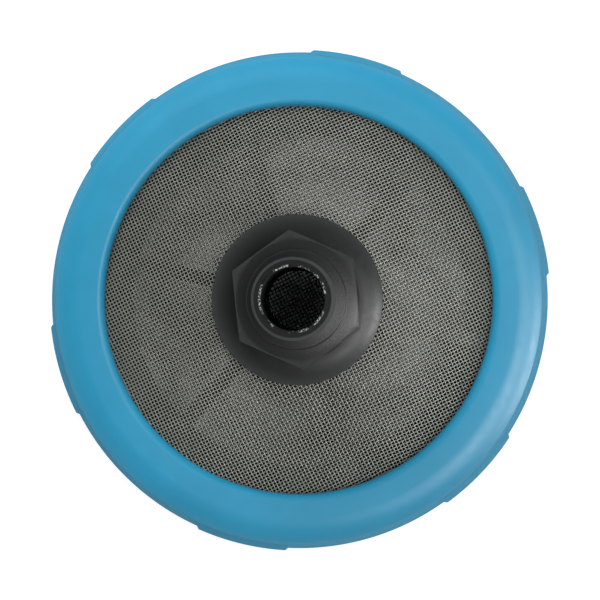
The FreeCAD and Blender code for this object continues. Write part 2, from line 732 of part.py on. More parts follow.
pieces = make_all()
doc.recompute()
check(pieces)
os.makedirs("parts", exist_ok=True)
for piece in pieces:
    piece.Shape.exportStep(f"parts/{piece.Label}.step")
print(len(pieces), "pieces written")
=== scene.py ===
"""Finished pieces, materials and stage for a suction strainer with a woven steel cone.

Metres, +Z up along the hose tail, origin on the floor under the middle of the strainer.
"""

import math
from functools import partial

import bpy
import numpy as np
from bpy.props import FloatProperty, FloatVectorProperty, IntProperty, PointerProperty
from mathutils import Matrix, Vector


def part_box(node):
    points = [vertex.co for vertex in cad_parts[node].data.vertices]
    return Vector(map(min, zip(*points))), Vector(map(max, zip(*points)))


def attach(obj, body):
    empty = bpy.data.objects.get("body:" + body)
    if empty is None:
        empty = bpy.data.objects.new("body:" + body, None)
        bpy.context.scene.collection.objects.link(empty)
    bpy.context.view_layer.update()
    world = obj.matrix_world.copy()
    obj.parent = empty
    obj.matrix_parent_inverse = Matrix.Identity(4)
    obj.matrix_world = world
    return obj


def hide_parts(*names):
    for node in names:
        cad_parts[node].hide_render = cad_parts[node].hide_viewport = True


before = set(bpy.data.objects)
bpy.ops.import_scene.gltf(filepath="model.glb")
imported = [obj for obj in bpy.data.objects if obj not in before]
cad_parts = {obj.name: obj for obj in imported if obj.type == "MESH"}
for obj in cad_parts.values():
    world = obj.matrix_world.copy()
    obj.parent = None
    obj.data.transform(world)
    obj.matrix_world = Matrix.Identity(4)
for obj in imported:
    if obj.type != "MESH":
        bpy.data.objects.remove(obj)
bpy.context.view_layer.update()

bl_info = {
    "name": "Suction strainer",
    "version": (1, 0, 0),
    "blender": (4, 5, 0),
    "location": "3D View > Sidebar > Strainer",
    "description": "Builds the finished pieces, materials and stage of a suction strainer",
    "category": "Add Mesh",
}

MM = 0.001
BODY = "root"
HEXAGON_SIDES = 6
# Distance of the rows that keep a flat face flat beside a rounded edge.
SUPPORT = 0.1 * MM
# Steps of the arc in a rounding of more than a millimetre, and in a smaller one.
ROUND_STEPS, EDGE_STEPS = 9, 3
# Refractive indices of polypropylene and of nitrile rubber.
POLYPROPYLENE_IOR, RUBBER_IOR = 1.49, 1.52
# Soft boxes that light dull surfaces, and those that only gloss sees.
LAMPS, CARDS = ("key", "top"), ("high", "low")


def low_end(name):
    """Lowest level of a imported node."""
    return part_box(name)[0].z


def high_end(name):
    """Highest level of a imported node."""
    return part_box(name)[1].z


def middle(name):
    """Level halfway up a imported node."""
    return (low_end(name) + high_end(name)) / 2


def linear(hex_text):
    """An sRGB hex colour as the linear colour that shaders and lamps take."""
    channels = [int(hex_text[place:place + 2], 16) / 255 for place in (1, 3, 5)]
    shares = [c / 12.92 if c <= 0.04045 else ((c + 0.055) / 1.055) ** 2.4 for c in channels]
    return (*shares, 1.0)


def length(name, millimetres, meaning):
    """A property that holds one length, given here in millimetres."""
    return FloatProperty(name=name, description=meaning, default=millimetres * MM, min=0.0,
                         precision=4, subtype="DISTANCE", unit="LENGTH")


def turn(name, degrees, meaning):
    """A property that holds one angle, given here in degrees."""
    return FloatProperty(name=name, description=meaning, default=math.radians(degrees),
                         subtype="ANGLE", unit="ROTATION")


def share(name, value, meaning):
    """A property that holds a plain factor."""
    return FloatProperty(name=name, description=meaning, default=value, min=0.0, soft_max=1.0,
                         subtype="FACTOR")


def power(name, watts, meaning):
    """A property that holds the power of a lamp."""
    return FloatProperty(name=name, description=meaning, default=watts, min=0.0,
                         subtype="POWER", unit="POWER")


def count(name, number, meaning):
    """A property that holds how many there are."""
    return IntProperty(name=name, description=meaning, default=number, min=1)


def paint(name, hex_text, meaning):
    """A property that holds one colour."""
    return FloatVectorProperty(name=name, description=meaning, default=linear(hex_text), size=4,
                               min=0.0, max=1.0, subtype="COLOR")


class CollarSizes(bpy.types.PropertyGroup):
    """Moulded collar."""

    mouth: length("Mouth", 52.5, "Radius of the opening over the cone")
    crown: length("Crown", 59.0, "Radius where the top face is highest")
    shoulder: length("Shoulder", 65.75, "Radius of the crisp edge of the top face")
    skirt: length("Skirt", 67.9, "Radius of the skirt at the foot band")
    band: length("Band", 68.2, "Radius of the foot band")
    bore: length("Bore", 62.8, "Inner radius of the collar")
    socket: length("Socket", 65.6, "Inner radius at the collar's foot")
    lip_round: length("Lip rounding", 2.2, "Rounding of the lip towards the cone")
    lip_fall: length("Lip fall", 0.3, "Fall of the top face towards the lip")
    lip_thickness: length("Lip thickness", 3.4, "Lip over the edge of the cone")
    shoulder_drop: length("Shoulder drop", 2.6, "Shoulder edge below the crown")
    shoulder_curve: length("Shoulder curve", 10.1, "Radius of the rounded shoulder")
    band_height: length("Band height", 5.2, "Height of the foot band")
    band_step: length("Band step", 0.6, "Slope from the skirt out to the band")
    socket_depth: length("Socket depth", 4.2, "Depth of the wider bore")
    edge: length("Edge", 0.35, "Rounding of the moulded edges")
    shoulder_edge: length("Shoulder edge", 0.15, "Rounding of the crisp edge of the top face")
    land: length("Land", 69.05, "Radius of the grip lands")
    land_top: length("Land top", 66.94, "Radius at which a land's slope ends on the skirt")
    land_root: length("Land root", 66.44, "Radius from which the ends of a land slant")
    land_slant: turn("Land slant", 1.6, "Angle over which each end of a land slants")
    land_wall: length("Land wall", 3.2, "Upright face of a land under its slope")
    land_height: length("Land height", 10.6, "Height of a land up the skirt")
    shelf_reach: length("Shelf reach", 2.2, "Bayonet shelf in from the bore")


class LockSizes(bpy.types.PropertyGroup):
    """Sectors of the bayonet lock, shared by the collar and the base ring."""

    number: count("Sectors", 6, "Lands, shelves and lugs round the strainer")
    phase: turn("Phase", 16.5, "Direction of the first land")
    span: turn("Span", 23.8, "Angle that a land, a shelf or a lug covers")
    notch_span: turn("Notch span", 10.0, "Angle that a water notch covers")
    shelf_low: length("Shelf underside", 8.0, "Underside of the shelves above the floor")
    shelf_height: length("Shelf height", 2.5, "Thickness of a shelf and of a lug")


class BaseSizes(bpy.types.PropertyGroup):
    """Base ring that locks into the collar."""

    wall_outer: length("Wall outside", 60.2, "Outer radius of the upright wall")
    wall_inner: length("Wall inside", 57.0, "Inner radius of the upright wall")
    foot_inner: length("Foot inside", 61.3, "Inner radius of the foot")
    foot_outer: length("Foot outside", 65.2, "Outer radius of the foot")
    window: length("Window", 46.0, "Opening of the plate")
    plate_low: length("Plate underside", 2.2, "Underside of the plate above the floor")
    plate_high: length("Plate top", 4.4, "Top of the plate above the floor")
    lug: length("Lug", 62.4, "Radius of the bayonet lugs")
    edge: length("Edge", 0.3, "Rounding of the moulded edges")


class ClothSizes(bpy.types.PropertyGroup):
    """Woven wire cloth."""

    wire: length("Wire", 0.32, "Diameter of one wire")
    warp_pitch: length("Warp pitch", 0.956, "Distance from one warp wire to the next")
    weft_pitch: length("Weft pitch", 0.989, "Distance from one weft wire to the next")
    thickness: length("Thickness", 0.6, "Thickness of the pressed cloth")
    angle: turn("Weave angle", 25.7, "Direction of the warp")
    slope: turn("Cone slope", 24.0, "Rise of the cone")
    foot: length("Cone foot", 52.2, "Radius where the cone starts to rise")
    top: length("Cone top", 22.0, "Radius where the cone ends")
    bend: length("Bend", 1.2, "Length over which the cloth bends at foot and top")
    draw: share("Draw", 0.085, "Share by which pressing draws the weave together up the slope")
    drawn_from: length("Drawn from", 29.0, "Radius at which pressing left the cloth in place")
    shear: share("Shear", 0.63, "Share of the drawing in that shears the weave")
    waviness: length("Waviness", 0.05, "Wander of the wires from their lines")
    wave: length("Wave", 21.0, "Length over which the wires wander")
    edge: length("Edge", 56.3, "Outer radius of the cloth")
    hole: length("Hole", 17.2, "Radius of the hole in the cone")


class HubSizes(bpy.types.PropertyGroup):
    """Hub, hub nut and the threads that join them to the hose tail."""

    flange: length("Flange", 22.7, "Radius of the domed flange")
    flange_edge: length("Flange edge", 1.2, "Height of the flange's edge")
    flange_height: length("Flange height", 4.3, "Height of the flange up to its seat")
    flange_curve: length("Flange curve", 9.5, "Radius of the dome")
    seat: length("Seat", 16.4, "Radius of the flat seat")
    recess: length("Recess", 15.4, "Radius of the recess for the seal")
    recess_depth: length("Recess depth", 1.0, "Depth of that recess")
    bore: length("Bore", 13.4, "Radius of the hub's bore")
    bore_depth: length("Bore depth", 15.2, "Depth of the bore below the seat")
    sleeve: length("Sleeve", 16.6, "Outer radius of the threaded sleeve")
    outlet: length("Outlet", 11.6, "Radius below the spigot")
    nut_flat: length("Nut flat", 20.5, "Axis of the hub nut to one of its flats")
    thread_pitch: length("Thread pitch", 1.8, "Pitch of the threads")
    thread_depth: length("Thread depth", 0.7, "Depth of the threads")
    thread_play: length("Thread play", 0.15, "Gap between two threads that run in each other")
    edge: length("Edge", 0.3, "Rounding of the moulded edges")


class TailSizes(bpy.types.PropertyGroup):
    """Hose tail."""

    spigot: length("Spigot", 13.1, "Radius over the spigot's thread")
    flat: length("Hexagon flat", 16.0, "Axis of the hose tail to one of its flats")
    hex_height: length("Hexagon height", 7.0, "Height of the hexagon")
    hex_phase: turn("Hexagon phase", 36.0, "Direction of a corner of the hexagons")
    hex_round: length("Hexagon corner", 0.5, "Rounding of the hexagons' upright corners")
    chamfer: length("Chamfer", 15.6, "Radius where the hexagon's chamfer starts")
    chamfer_fall: turn("Chamfer fall", 30.0, "Slope of the hexagons' chamfers")
    foot: length("Foot", 13.0, "Radius of the tail's round foot")
    foot_height: length("Foot height", 1.2, "Height of that foot")
    body: length("Tail", 9.5, "Radius of the tail between its barbs")
    bore: length("Bore", 7.9, "Radius of the tail's bore")
    front: length("Barb front", 9.6, "Radius of a barb at its front")
    crest: length("Barb crest", 10.4, "Radius over a barb's crest")
    back: length("Barb back", 0.5, "Slope behind a crest")
    land: length("Barb land", 0.9, "Flat crest of a barb")
    barb_length: length("Barb length", 4.9, "Barb from its front to its back")
    barb_pitch: length("Barb pitch", 6.1, "Distance from barb to barb")
    barb_count: count("Barbs", 5, "Barbs on the tail")
    flash: length("Flash", 0.3, "Height of the ragged flash round the bore's edge")
    edge: length("Edge", 0.25, "Rounding of the moulded edges")


class Finishes(bpy.types.PropertyGroup):
    """Colours of the mouldings, the steel and the rubber."""

    blue: paint("Collar", "#2695BD", "Blue moulded polypropylene")
    black: paint("Black mouldings", "#121313", "Black moulded polypropylene")
    # Pale of the torn flash, which also paints the glints off it.
    torn_and_glint: paint("Torn edge and glint", "#B4B9BB", "Pale specks on the flash: torn polypropylene, and painted glints")
    wire: paint("Cone cloth", "#9FA197", "Bright drawn stainless wire")
    # The lower cloth's wire is painted nearly black, a painted shade for the dark space under the
    # cone.
    shade_dark_wire: paint("Lower cloth", "#2E2D2A", "Stainless wire painted dark for the shade under the cone")
    folded: paint("Folded edges", "#BDBCB6", "Folded stainless sheet")
    rubber: paint("Rubber", "#151515", "Nitrile rubber")
    floor: paint("Floor", "#F4F4F4", "Plain pale floor")


class StageSettings(bpy.types.PropertyGroup):
    """Camera and light."""

    distance: length("Camera distance", 700.0, "Camera above the collar's top face")
    across: length("Camera across", 15.7, "Camera's offset along +X")
    along: length("Camera along", 3.0, "Camera's offset along -Y")
    view_width: length("View width", 161.7, "Width of the view at the collar's top face")
    aim_across: length("Aim across", 0.49, "Middle of the picture along +X")
    aim_along: length("Aim along", 0.03, "Middle of the picture along -Y")
    tent: share("Tent", 0.32, "Strength of the even light from all round")
    walls: share("Walls", 0.95, "Strength of the foot of the walls in gloss")
    cove: share("Cove", 0.45, "Strength of the top of the walls in gloss")
    ceiling: share("Ceiling", 0.12, "Strength of the ceiling in gloss")


def soft_box(key, name, distance, side, azimuth, elevation, watts):
    """Properties of one square soft box, given in millimetres, degrees and watts."""
    box = name.lower()
    return {
        f"{key}_distance": length(f"{name} distance", distance, f"The {box} from the strainer"),
        f"{key}_size": length(f"{name} size", side, f"Side of the square {box}"),
        f"{key}_azimuth": turn(f"{name} azimuth", azimuth, f"Direction of the {box} from +X"),
        f"{key}_elevation": turn(f"{name} elevation", elevation, f"The {box} over the horizon"),
        f"{key}_power": power(f"{name} power", watts, f"Power of the {box}"),
    }


for row in (("key", "Main lamp", 700, 520, -20, 62, 1.9),
            ("top", "Top lamp", 450, 300, 112, 50, 1.15),
            ("high", "High card", 700, 330, -26, 56, 2.9),
            ("low", "Low card", 700, 320, -15, 18, 4.0)):
    StageSettings.__annotations__.update(soft_box(*row))


def add_node(tree, kind, *inputs, **named):
    """Add a shader node, and fill its inputs or link them to the nodes or outputs given.

    Inputs without a name follow the node's own order, and a name in small letters is a setting.
    """
    node = tree.nodes.new("ShaderNode" + kind)
    for name, value in named.items():
        if name.islower():
            setattr(node, name, value)
    filled = list(zip([socket for socket in node.inputs if socket.enabled], inputs))
    filled += [(node.inputs[name.replace("_", " ")], value)
               for name, value in named.items() if not name.islower()]
    for socket, value in filled:
        if isinstance(value, bpy.types.Node):
            value = next(output for output in value.outputs if output.enabled)
        if isinstance(value, bpy.types.NodeSocket):
            tree.links.new(value, socket)
        else:
            socket.default_value = value
    return node


def emptied(tree):
    """What adds nodes to a tree, which is cleared first."""
    tree.nodes.clear()
    return partial(add_node, tree)


def shade(add, colour, factor):
    """A colour made darker or lighter by a factor that varies over the surface."""
    grey = add("CombineColor", factor, factor, factor)
    return add("Mix", 1, colour, grey, data_type="RGBA", blend_type="MULTIPLY")


def moulded_polypropylene(add, place, colour, gloss, mottle, matt_below=0.0):
    """Injection-moulded polypropylene.

    It has a satin skin: soft broad highlights, faint cloudy flow marks some 14 mm across, a very
    slight waviness where the wall sank as it cooled, and a fine grain from the steel mould. Below
    one level the mould was etched for a good grip, and the skin is matt there.
    """
    clouds = add("TexNoise", place, Scale=1 / (14 * MM), Detail=3)
    sunk = add("TexNoise", place, Scale=1 / (11 * MM), Detail=1)
    scuffs = add("TexNoise", place, Scale=1 / (2.2 * MM), Detail=5, Roughness=0.7)
    fine = add("TexNoise", place, Scale=1 / (0.45 * MM))
    tone = add("MapRange", clouds, 0.3, 0.7, 1 - mottle, 1 + mottle)
    satin = add("MapRange", scuffs, 0.35, 0.75, gloss - 0.04, gloss + 0.1)
    level = add("SeparateXYZ", place).outputs["Z"]
    etched = add("MapRange", level, matt_below - 0.1 * MM, matt_below, 0.9 - gloss, 0)
    rough = add("Math", satin, etched, operation="ADD")
    normal = add("Bump", Height=sunk, Distance=0.12 * MM, Strength=0.35)
    normal = add("Bump", Height=fine, Distance=0.012 * MM, Strength=0.5, Normal=normal)
    return add("BsdfPrincipled", Base_Color=shade(add, colour, tone), Roughness=rough,
               IOR=POLYPROPYLENE_IOR, Normal=normal)


def between(add, value, low, high, soft):
    """1 where a value lies between two limits, 0 outside, with soft ends."""
    above = add("MapRange", value, low - soft, low)
    below = add("MapRange", value, high, high + soft, 1, 0)
    return add("Math", above, below, operation="MULTIPLY")


def hose_tail_polypropylene(add, place, colour, torn_and_glint, hexagon_low, hexagon_high, tip, flash_radius):
    """Black polypropylene of the hose tail.

    The hexagon and the round foot came from a spark-eroded part of the mould, so they carry a
    field of fine craters that spreads the light, and their top sank a little outwards as it
    cooled, so that one side catches the lamp. The thin flash round the edge of the bore tore off
    here and there and went pale, and these pale specks also stand in for glints off the flash, a
    painted highlight.
    """
    axes = add("SeparateXYZ", place).outputs
    reach = add("VectorMath", add("CombineXYZ", axes["X"], axes["Y"]), operation="LENGTH")
    eroded = between(add, axes["Z"], hexagon_low, hexagon_high, 0.2 * MM)
    at_tip = add("MapRange", axes["Z"], tip - 0.5 * MM, tip - 0.25 * MM)
    at_bore = add("MapRange", reach, flash_radius, flash_radius + 0.15 * MM, 1, 0)
    craters = add("TexNoise", place, Scale=1 / (0.6 * MM), Detail=3, Roughness=0.65)
    patches = add("TexNoise", place, Scale=1 / (3.2 * MM))
    clouds = add("TexNoise", place, Scale=1 / (6 * MM), Detail=3)
    fine = add("TexNoise", place, Scale=1 / (0.4 * MM))
    speckle = add("Math", craters, eroded, operation="MULTIPLY")
    base = shade(add, colour, add("MapRange", speckle, 0.45, 0.75, 0.75, 1.3))
    base = shade(add, base, add("MapRange", at_tip, 0, 1, 1, 0.5))
    # Pale specks on the bore's flash: torn plastic, and painted glints.
    pale = at_tip
    for factor in (at_bore, add("MapRange", fine, 0.45, 0.6), add("MapRange", patches, 0.5, 0.56)):
        pale = add("Math", pale, factor, operation="MULTIPLY")
    sunk_from, sunk_to, sunk_slope = 8 * MM, 20 * MM, math.radians(15)
    fall = add("MapRange", reach, sunk_from, sunk_to, 1, 0)
    normal = add("Bump", Height=add("Math", fall, eroded, operation="MULTIPLY"), Strength=1,
                 Distance=(sunk_to - sunk_from) * math.tan(sunk_slope))
    for height, depth, strength in ((clouds, 0.1 * MM, 0.3), (fine, 0.01 * MM, 0.5),
                                    (speckle, 0.09 * MM, 0.9)):
        normal = add("Bump", Height=height, Distance=depth, Strength=strength, Normal=normal)
    rough = add("Math", add("MapRange", eroded, 0, 1, 0.72, 0.47),
                add("Math", at_tip, 0.25, operation="MULTIPLY"), operation="ADD")
    return add("BsdfPrincipled", Base_Color=add("Mix", pale, base, torn_and_glint, data_type="RGBA"),
               Roughness=rough, IOR=POLYPROPYLENE_IOR, Normal=normal)


def drawn_stainless_wire(add, place, colour, gloss, bare_metal=0.32):
    """Drawn stainless wire: clean grey metal, its tone slightly uneven from wire to wire.

    Drawing leaves lines along the wire that are far too fine to show, and pickling a thin dull
    film that leaves only a share of the metal bare and scatters most of the light. What the eye
    gets is a soft sheen with small dull spots every few millimetres.
    """
    patches = add("TexNoise", place, Scale=1 / (9 * MM), Detail=4, Roughness=0.6)
    spots = add("TexNoise", place, Scale=1 / (0.9 * MM))
    tone = add("MapRange", patches, 0.3, 0.7, 0.88, 1.06)
    rough = add("MapRange", spots, 0.3, 0.7, gloss, gloss + 0.16)
    return add("BsdfPrincipled", Base_Color=shade(add, colour, tone), Metallic=bare_metal,
               Roughness=rough)


def folded_stainless_sheet(add, place, colour):
    """Rolled stainless sheet, folded: fine rolling lines and a dull grey sheen."""
    stretched = add("Mapping", place, Scale=(1, 14, 1))
    lines = add("TexNoise", stretched, Scale=1 / (2 * MM), Detail=4, Roughness=0.7)
    tone = add("MapRange", lines, 0.3, 0.7, 0.9, 1.05)
    rough = add("MapRange", lines, 0.3, 0.7, 0.24, 0.42)
    normal = add("Bump", Height=lines, Distance=0.01 * MM, Strength=0.4)
    return add("BsdfPrincipled", Base_Color=shade(add, colour, tone), Metallic=1,
               Roughness=rough, Normal=normal)


def nitrile_rubber(add, place, colour):
    """Moulded nitrile rubber: matt black with a faint powdery bloom in patches."""
    bloom = add("TexNoise", place, Scale=1 / (5 * MM), Detail=4, Roughness=0.6)
    skin = add("TexNoise", place, Scale=1 / (0.3 * MM))
    tone = add("MapRange", bloom, 0.45, 0.8, 1, 1.8)
    rough = add("MapRange", bloom, 0.3, 0.7, 0.62, 0.82)
    normal = add("Bump", Height=skin, Distance=0.02 * MM, Strength=0.5)
    return add("BsdfPrincipled", Base_Color=shade(add, colour, tone), Roughness=rough,
               IOR=RUBBER_IOR, Normal=normal)


def seen_directly(add):
    """1 for rays from the camera, off gloss and through glass, 0 for rays that carry light."""
    path = add("LightPath").outputs
    seen = path["Is Camera Ray"]
    for ray in ("Is Glossy Ray", "Is Transmission Ray"):
        seen = add("Math", seen, path[ray], operation="MAXIMUM")
    return seen


def pale_paper(add, place, colour, inner, outer, glow=0.9, lit=0.25):
    """Pale paper: near white with the strainer's shadow, and plain paper under the strainer.

    What shows is mostly an even glow, and a small share of the lit sheet keeps the shadow.
    """
    tooth = add("TexNoise", place, Scale=1 / (1.5 * MM), Detail=3)
    sheet = shade(add, colour, add("MapRange", tooth, 0.3, 0.7, 0.99, 1))
    paper = add("BsdfDiffuse", sheet)
    shadowed = add("BsdfDiffuse", shade(add, sheet, lit))
    seen = add("AddShader", shadowed, add("Emission", Strength=glow))
    around = add("MapRange", add("VectorMath", place, operation="LENGTH"), inner, outer)
    shown = add("Math", seen_directly(add), around, operation="MULTIPLY")
    return add("MixShader", shown, paper, seen)


def made(name, surface, *details, **looks):
    """A material by name, made the first time it is asked for."""
    material = bpy.data.materials.get(name)
    if material is None:
        material = bpy.data.materials.new(name)
        material.use_nodes = True
        add = emptied(material.node_tree)
        place = add("TexCoord").outputs["Object"]
        add("OutputMaterial", surface(add, place, *details, **looks))
    return material


def blue_polypropylene():
    """Blue of the collar, a little cloudy, with a matt skirt."""
    scene = bpy.context.scene
    shoulder = high_end("rim_collar") - scene.strainer_collar.shoulder_drop
    return made("blue moulded polypropylene", moulded_polypropylene,
                scene.strainer_finishes.blue, gloss=0.41, mottle=0.04, matt_below=shoulder)


def black_polypropylene():
    """Black of the base ring, the spider, the hub and its nut."""
    return made("black moulded polypropylene", moulded_polypropylene,
                bpy.context.scene.strainer_finishes.black, gloss=0.43, mottle=0.12)


def add_object(name, data):
    """An object that shows a mesh, a lamp or a camera in the scene."""
    item = bpy.data.objects.new(name, data)
    bpy.context.scene.collection.objects.link(item)
    return item


def new_piece(name, points, faces, material, slot, node):
    """A finished piece from points and four-sided faces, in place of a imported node."""
    mesh = bpy.data.meshes.new(name)
    mesh.vertices.add(len(points))
    mesh.vertices.foreach_set("co", np.asarray(points, np.float32).ravel())
    mesh.loops.add(faces.size)
    mesh.loops.foreach_set("vertex_index", faces.astype(np.int32).ravel())
    mesh.polygons.add(len(faces))
    mesh.polygons.foreach_set("loop_start", np.arange(0, faces.size, 4, dtype=np.int32))
    mesh.polygons.foreach_set("use_smooth", np.ones(len(faces), bool))
    mesh.update(calc_edges=True)
    mesh.validate()
    mesh.materials.append(material)
    piece = add_object(name, mesh)
    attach(piece, BODY)
    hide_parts(node)
    return piece


def new_ring(name, rows, angles, material, node, slot="black_polypropylene", crisp_from=32):
    """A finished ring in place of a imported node, its edges crisp from some degrees on."""
    ring = new_piece(name, *lathe(rows, angles), material, slot, node)
    ring.data.set_sharp_from_angle(angle=math.radians(crisp_from))


def rounded(corners):
    """Points of an open outline, with an arc at each (radius, height, rounding) corner.

    Beside each arc a point more keeps the flat face beyond it flat.
    """
    points = [tuple(corners[0][:2])]
    for before, corner, after in zip(corners, corners[1:], corners[2:]):
        here = np.array(corner[:2])
        if len(corner) < 3:
            points.append(tuple(here))
            continue
        rounding = corner[2]
        back, onward = np.array(before[:2]) - here, np.array(after[:2]) - here
        back /= np.linalg.norm(back)
        onward /= np.linalg.norm(onward)
        half = math.acos(np.clip(back @ onward, -1, 1)) / 2
        inward = (back + onward) / np.linalg.norm(back + onward)
        centre = here + inward * rounding / math.sin(half)
        reach = rounding / math.tan(half)
        first, last = here + back * reach - centre, here + onward * reach - centre
        points.append(tuple(here + back * (reach + SUPPORT)))
        steps = ROUND_STEPS if rounding > MM else EDGE_STEPS
        for step in range(steps + 1):
            way = first + (last - first) * step / steps
            points.append(tuple(centre + way * rounding / np.linalg.norm(way)))
        points.append(tuple(here + onward * (reach + SUPPORT)))
    return points + [tuple(corners[-1][:2])]


def bulge(start, end, radius, steps):
    """Points between two ends of an arc that bulges to the right of its direction."""
    start, end = np.array(start), np.array(end)
    chord = end - start
    left = np.array((-chord[1], chord[0])) / np.linalg.norm(chord)
    centre = (start + end) / 2 + left * math.sqrt(radius ** 2 - chord @ chord / 4)
    first = math.atan2(*(start - centre)[::-1])
    sweep = 2 * math.asin(np.linalg.norm(chord) / 2 / radius)
    return [(centre[0] + radius * math.cos(first + sweep * step / steps),
             centre[1] + radius * math.sin(first + sweep * step / steps))
            for step in range(1, steps)]


def turns(step, centres=(), offsets=()):
    """Angles round the axis in radians, closer together beside each centre (all in degrees)."""
    extra = [centre + side * offset for centre in centres for offset in offsets for side in (-1, 1)]
    angles = np.concatenate([np.arange(0, 360, step), np.array(extra)]) % 360
    return np.radians(np.unique(np.round(angles, 4)))


def lathe(rows, angles):
    """Points and faces of a closed ring.

    A row is a (radius, height) of the section, anticlockwise; either may vary over the angles.
    """
    radius = np.array([np.broadcast_to(row[0], angles.shape) for row in rows])
    height = np.array([np.broadcast_to(row[1], angles.shape) for row in rows])
    points = np.stack([radius * np.cos(angles), radius * np.sin(angles), height], axis=-1)
    index = np.arange(radius.size).reshape(radius.shape)
    beside, above = np.roll(index, -1, axis=1), np.roll(index, -1, axis=0)
    faces = np.stack([index, beside, np.roll(above, -1, axis=1), above], axis=-1)
    return points.reshape(-1, 3), faces.reshape(-1, 4)


def from_nearest(angles, number, phase):
    """Angle from each direction to the nearest of a number of equally spaced ones."""
    pitch = 2 * math.pi / number
    return np.abs((angles - phase + pitch / 2) % pitch - pitch / 2)


def sectors(angles, number, phase, span, slant):
    """1 inside each of a number of equal sectors, falling smoothly to 0 at their ends."""
    inside = np.clip((span / 2 - from_nearest(angles, number, phase)) / slant, 0, 1)
    return inside * inside * (3 - 2 * inside)


def sector_middles(number, phase):
    """Directions of the middles of the sectors, in degrees."""
    return [math.degrees(phase) + 360 / number * place for place in range(number)]


def hexagon(angles, flat, corner, phase):
    """Radius of a hexagon with rounded upright corners over the angles."""
    half = math.pi / HEXAGON_SIDES
    away = from_nearest(angles, HEXAGON_SIDES, phase)
    straight = flat / np.cos(half - away)
    centre = (flat - corner) / math.cos(half)
    room = np.clip(corner ** 2 - (centre * np.sin(away)) ** 2, 0, None)
    round_end = math.atan2(corner * math.sin(half), centre + corner * math.cos(half))
    return np.where(away < round_end, centre * np.cos(away) + np.sqrt(room), straight)


def hexagon_turns(step, phase):
    """Angles for a hexagonal piece, closer together at its corners."""
    beside_corner = (0.2, 0.5, 0.8, 1.1)
    return turns(step, sector_middles(HEXAGON_SIDES, phase), beside_corner)


def thread_rows(angles, crest, hub, low, high):
    """Rows of a helical thread, from the first level to the second, run out at both ends.

    The tooth stands at the same place on a spigot and in the bore around it.
    """
    rows, rows_a_turn = [], 6
    # The tooth's flanks slant this steeply between a flat root and a flat crest.
    steepness, root = 1.7, 0.35
    for level in np.linspace(low, high, int(abs(high - low) / hub.thread_pitch * rows_a_turn) + 2):
        along = (level / hub.thread_pitch - angles / (2 * math.pi)) % 1
        tooth = np.clip(steepness * (1 - np.abs(2 * along - 1)) - root, 0, 1)
        to_end = min(abs(level - low), abs(high - level)) / hub.thread_pitch
        rows.append((crest - hub.thread_depth * min(1, to_end) * (1 - tooth), level))
    return rows


class BuildCollar(bpy.types.Operator):
    """Blue collar with rounded lip and shoulder, six grip lands and its bayonet shelves"""

    bl_idname = "strainer.collar"
    bl_label = "Collar"

    def execute(self, context):
        size, lock = context.scene.strainer_collar, context.scene.strainer_lock
        low, high = low_end("rim_collar"), high_end("rim_collar")
        shelf_high = lock.shelf_low + lock.shelf_height
        section = self.outside(size, low, high, shelf_high)
        shelf_rows = [(size.bore, shelf_high), (size.bore, lock.shelf_low)]
        section += shelf_rows + [(size.bore, lock.shelf_low - SUPPORT / 2)]
        section.append((size.bore, low + size.socket_depth))
        # Close angles across the slanted end of each land, and a little past it on both sides.
        half, slant = math.degrees(lock.span) / 2, math.degrees(size.land_slant)
        ends = [half - slant * place for place in np.linspace(-0.1, 1.1, 10)]
        angles = turns(1, centres=sector_middles(lock.number, lock.phase), offsets=ends)
        shelf_slant = math.radians(0.2)
        shelf = sectors(angles, lock.number, lock.phase, lock.span, shelf_slant)
        inside = lock.span / 2 - from_nearest(angles, lock.number, lock.phase)
        land_end = size.land_root + (size.land - size.land_root) * inside / size.land_slant
        rounding_in = 1.2 * size.edge
        rows = []
        for radius, height in section:
            wall = self.skirt_radius(size, low, high, height)
            if (radius, height) in shelf_rows:
                radius = radius - size.shelf_reach * shelf
            elif radius > wall - rounding_in and height <= low + size.land_height:
                land = max(wall, self.land_radius(size, low, height))
                raised = eased(land_end - wall, size.edge) - eased(land_end - land, size.edge)
                radius = radius + raised
            rows.append((radius, height))
        new_ring("collar_moulding", rows, angles, blue_polypropylene(), "rim_collar",
                 "blue_polypropylene")
        return {"FINISHED"}

    def skirt_radius(self, size, low, high, height):
        """Radius of the foot band and the skirt at a level, without the lands."""
        band_top = low + size.band_height
        levels = (band_top - size.band_step, band_top, high - size.shoulder_drop)
        return np.interp(height, levels, (size.band, size.skirt, size.shoulder))

    def land_radius(self, size, low, height):
        """Radius of a land at a level: upright at its foot, then sloping in towards the skirt."""
        fall = (size.land - size.land_top) / (size.land_height - size.land_wall)
        return size.land - fall * eased(height - low - size.land_wall, 2 * size.edge)

    def outside(self, size, low, high, shelf_high):
        """Outline from the socket round the foot, up the skirt, over the top and into the bore."""
        socket_top = low + size.socket_depth
        band_top = low + size.band_height
        wall_top = low + size.land_wall
        land_top = low + size.land_height
        shoulder = (size.shoulder, high - size.shoulder_drop)
        crown = (size.crown, high)
        levels = (*np.linspace(band_top + 2 * size.edge, land_top, 5), land_top + SUPPORT / 2)
        return rounded([
            (size.socket, socket_top),
            (size.socket, low, size.edge),
            (size.band, low, size.edge),
            *((size.band, wall_top + size.edge * step) for step in (-1, -0.5, 0, 0.5, 1)),
            (size.band, band_top - size.band_step, size.edge),
            (size.skirt, band_top, size.edge),
            *((self.skirt_radius(size, low, high, level), level) for level in levels),
            (*shoulder, size.shoulder_edge),
            *bulge(shoulder, crown, size.shoulder_curve, steps=12),
            crown,
            (size.mouth, high - size.lip_fall, size.lip_round),
            (size.mouth, high - size.lip_thickness),
            (size.bore, high - size.lip_thickness, size.edge),
            (size.bore, shelf_high + SUPPORT / 2)])


